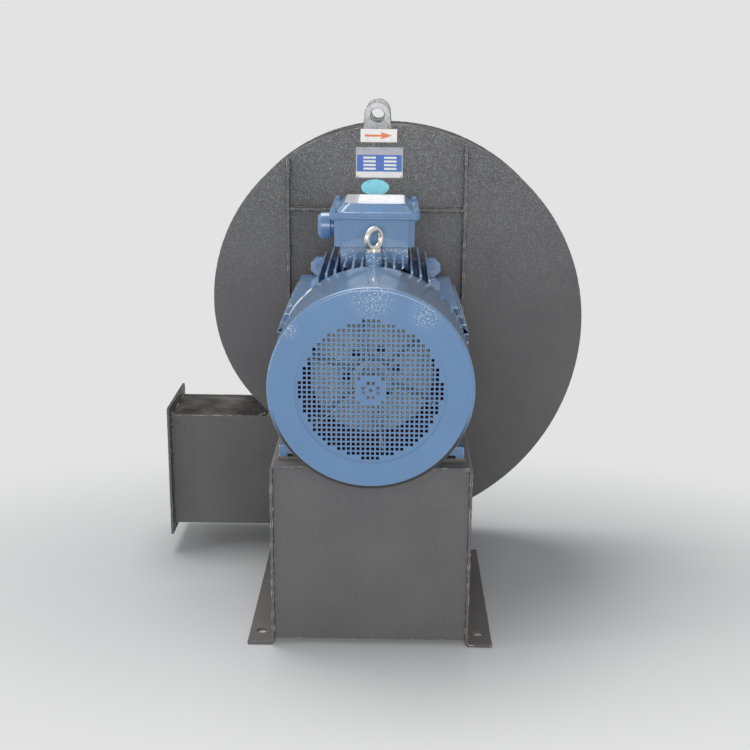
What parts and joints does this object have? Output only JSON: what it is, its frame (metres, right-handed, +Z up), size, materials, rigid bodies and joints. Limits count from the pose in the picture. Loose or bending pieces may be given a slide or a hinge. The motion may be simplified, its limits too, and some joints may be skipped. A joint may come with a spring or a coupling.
{
  "type": "industrial centrifugal blower",
  "caption": "Direct-driven centrifugal blower: volute casing with flanged outlet and inlet, on a bent-plate pedestal with a finned foot-mounted motor.",
  "frame": {"origin": "on the floor, at the centre of the four foundation bolts", "axes": "+Z up; +Y along the shaft, from the motor's fan towards the inlet; +X to the right seen from the motor, away from the outlet"},
  "size_m": [0.834, 0.728, 0.9233],
  "materials": {
    "casing_paint": "satin dark grey enamel on welded steel plate",
    "motor_paint": "gloss blue enamel",
    "red_primer": "matt red primer on cast iron",
    "zinc_plate": "bright zinc plate",
    "machined_steel": "turned",
    "cast_aluminium": "as cast",
    "cast_iron": "machined casting",
    "copper_wire": "varnished copper wire",
    "brass": "turned",
    "black_rubber": "moulded",
    "brown_phenolic": "moulded",
    "fan_plastic": "moulded, pale grey"
  },
  "bodies": {
    "housing": {"pedestal_frame": "casing_paint", "pedestal_front_plate": "casing_paint", "packing_strips": "casing_paint", "casing_motor_plate": "casing_paint", "casing_inlet_plate": "casing_paint", "scroll_wrap": "casing_paint", "outlet_flange": "casing_paint", "stiffener_left": "casing_paint", "stiffener_right": "casing_paint", "stiffener_cross": "casing_paint", "lifting_lug_front": "casing_paint", "lifting_lug_rear": "casing_paint", "shaft_seal_plate": "casing_paint", "seal_plate_screws": "zinc_plate", "inlet_cover": "casing_paint", "inlet_cover_bolts": "zinc_plate", "inlet_cone": "casing_paint", "inlet_pipe": "casing_paint", "inlet_flange": "casing_paint", "motor_frame": "motor_paint", "drive_end_shield": "motor_paint", "drive_end_bolts": "zinc_plate", "fan_end_shield": "red_primer", "fan_end_bolts": "zinc_plate", "stator_core": "machined_steel", "stator_windings": "copper_wire", "bearing_outer_rings": "machined_steel", "terminal_box": "motor_paint", "terminal_box_gasket": "black_rubber", "terminal_box_cover": "motor_paint", "cover_screws": "zinc_plate", "terminal_block": "brown_phenolic", "terminal_studs": "brass", "cable_gland": "motor_paint", "eye_bolt": "zinc_plate", "fan_cowl": "motor_paint", "cowl_grille": "motor_paint", "cowl_screws": "zinc_plate", "foot_bolts": "zinc_plate", "foot_nuts": "zinc_plate", "drive_end_seal": "black_rubber"},
    "rotor": {"shaft": "machined_steel", "rotor_core": "machined_steel", "rotor_end_rings": "cast_aluminium", "bearing_inner_rings": "machined_steel", "cooling_fan": "fan_plastic", "fan_circlip": "machined_steel", "shaft_key": "machined_steel", "impeller_hub": "cast_iron", "impeller_back_plate": "casing_paint", "impeller_blades": "casing_paint", "impeller_shroud": "casing_paint", "hub_rivets": "machined_steel", "hub_washer": "zinc_plate", "hub_bolt": "zinc_plate"},
    "ball_sets": {"bearing_balls": "machined_steel", "bearing_cages": "brass"}
  },
  "joints": [
    {"name": "rotor_spin", "type": "hinge", "parent": "housing", "child": "rotor", "pos_m": [0, 0, 0.502], "axis": [0, 1, 0], "continuous": true},
    {"name": "ball_orbit", "type": "hinge", "parent": "housing", "child": "ball_sets", "pos_m": [0, 0, 0.502], "axis": [0, 1, 0], "continuous": true}
  ],
  "couplings": [
    {"joint": "ball_orbit", "follows": "rotor_spin", "ratio": 0.3793}
  ]
}
